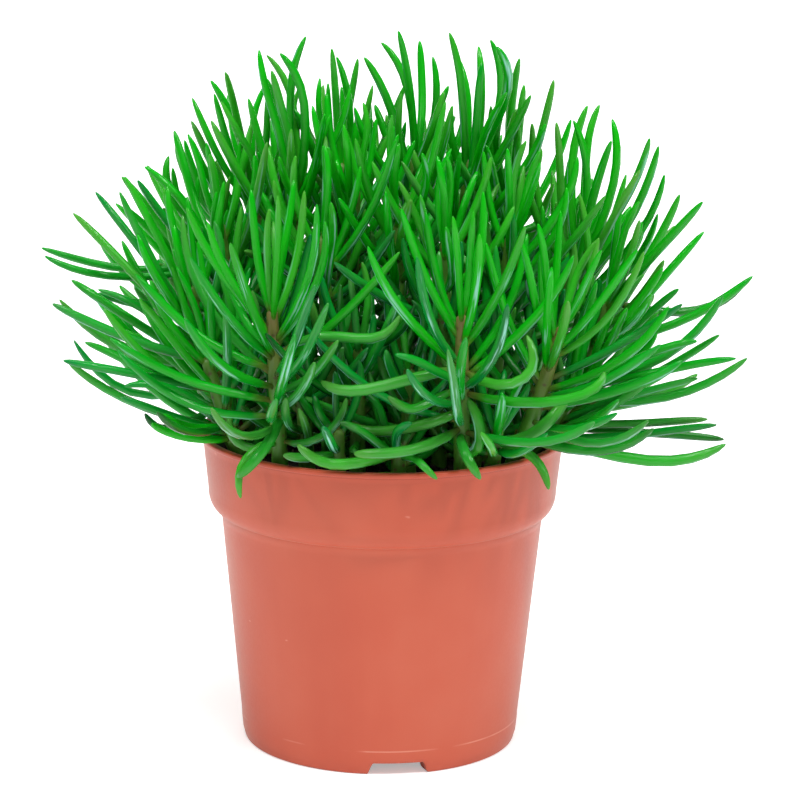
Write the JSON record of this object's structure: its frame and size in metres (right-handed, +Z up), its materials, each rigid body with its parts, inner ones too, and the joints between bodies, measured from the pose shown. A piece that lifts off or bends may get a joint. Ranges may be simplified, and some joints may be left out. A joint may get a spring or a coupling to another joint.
{
  "type": "potted senecio",
  "caption": "Bushy succulent with finger-like blue-green leaves on upright fleshy stems, growing in a thin terracotta-coloured plastic nursery pot",
  "frame": {"origin": "centre of the pot's underside, on the surface that the pot stands on", "axes": "+Z up along the pot's axis, -Y towards the plant's front, +X to its right"},
  "size_m": [0.228, 0.1871, 0.231],
  "materials": {
    "pot_plastic": "satin",
    "soil": "matte",
    "leaf": "satin"
  },
  "bodies": {
    "root": {"pot": "pot_plastic", "soil": "soil", "leafy_stem_front_left": "leaf", "leafy_stem_front_middle": "leaf", "leafy_stem_front_right": "leaf", "leafy_stem_left": "leaf", "leafy_stem_left_low": "leaf", "leafy_stem_left_high": "leaf", "leafy_stem_left_back": "leaf", "leafy_stem_top_left": "leaf", "leafy_stem_top_far_left": "leaf", "leafy_stem_top_middle_left": "leaf", "leafy_stem_top_middle": "leaf", "leafy_stem_top_middle_right": "leaf", "leafy_stem_top_right": "leaf", "leafy_stem_right_high": "leaf", "leafy_stem_right": "leaf", "leafy_stem_right_low": "leaf", "leafy_stem_right_back": "leaf", "leafy_stem_middle_left": "leaf", "leafy_stem_middle": "leaf", "leafy_stem_middle_front": "leaf", "leafy_stem_middle_right": "leaf", "leafy_stem_middle_low": "leaf", "leafy_stem_middle_back": "leaf", "leafy_stem_inner_left": "leaf", "leafy_stem_inner_middle": "leaf", "leafy_stem_inner_right": "leaf", "leafy_stem_back_left": "leaf", "leafy_stem_back_middle": "leaf", "leafy_stem_back_right": "leaf", "leafy_stem_shoot_left": "leaf", "leafy_stem_shoot_middle": "leaf", "leafy_stem_shoot_right": "leaf", "leafy_stem_shoot_back_left": "leaf", "leafy_stem_shoot_back_right": "leaf"}
  },
  "joints": []
}
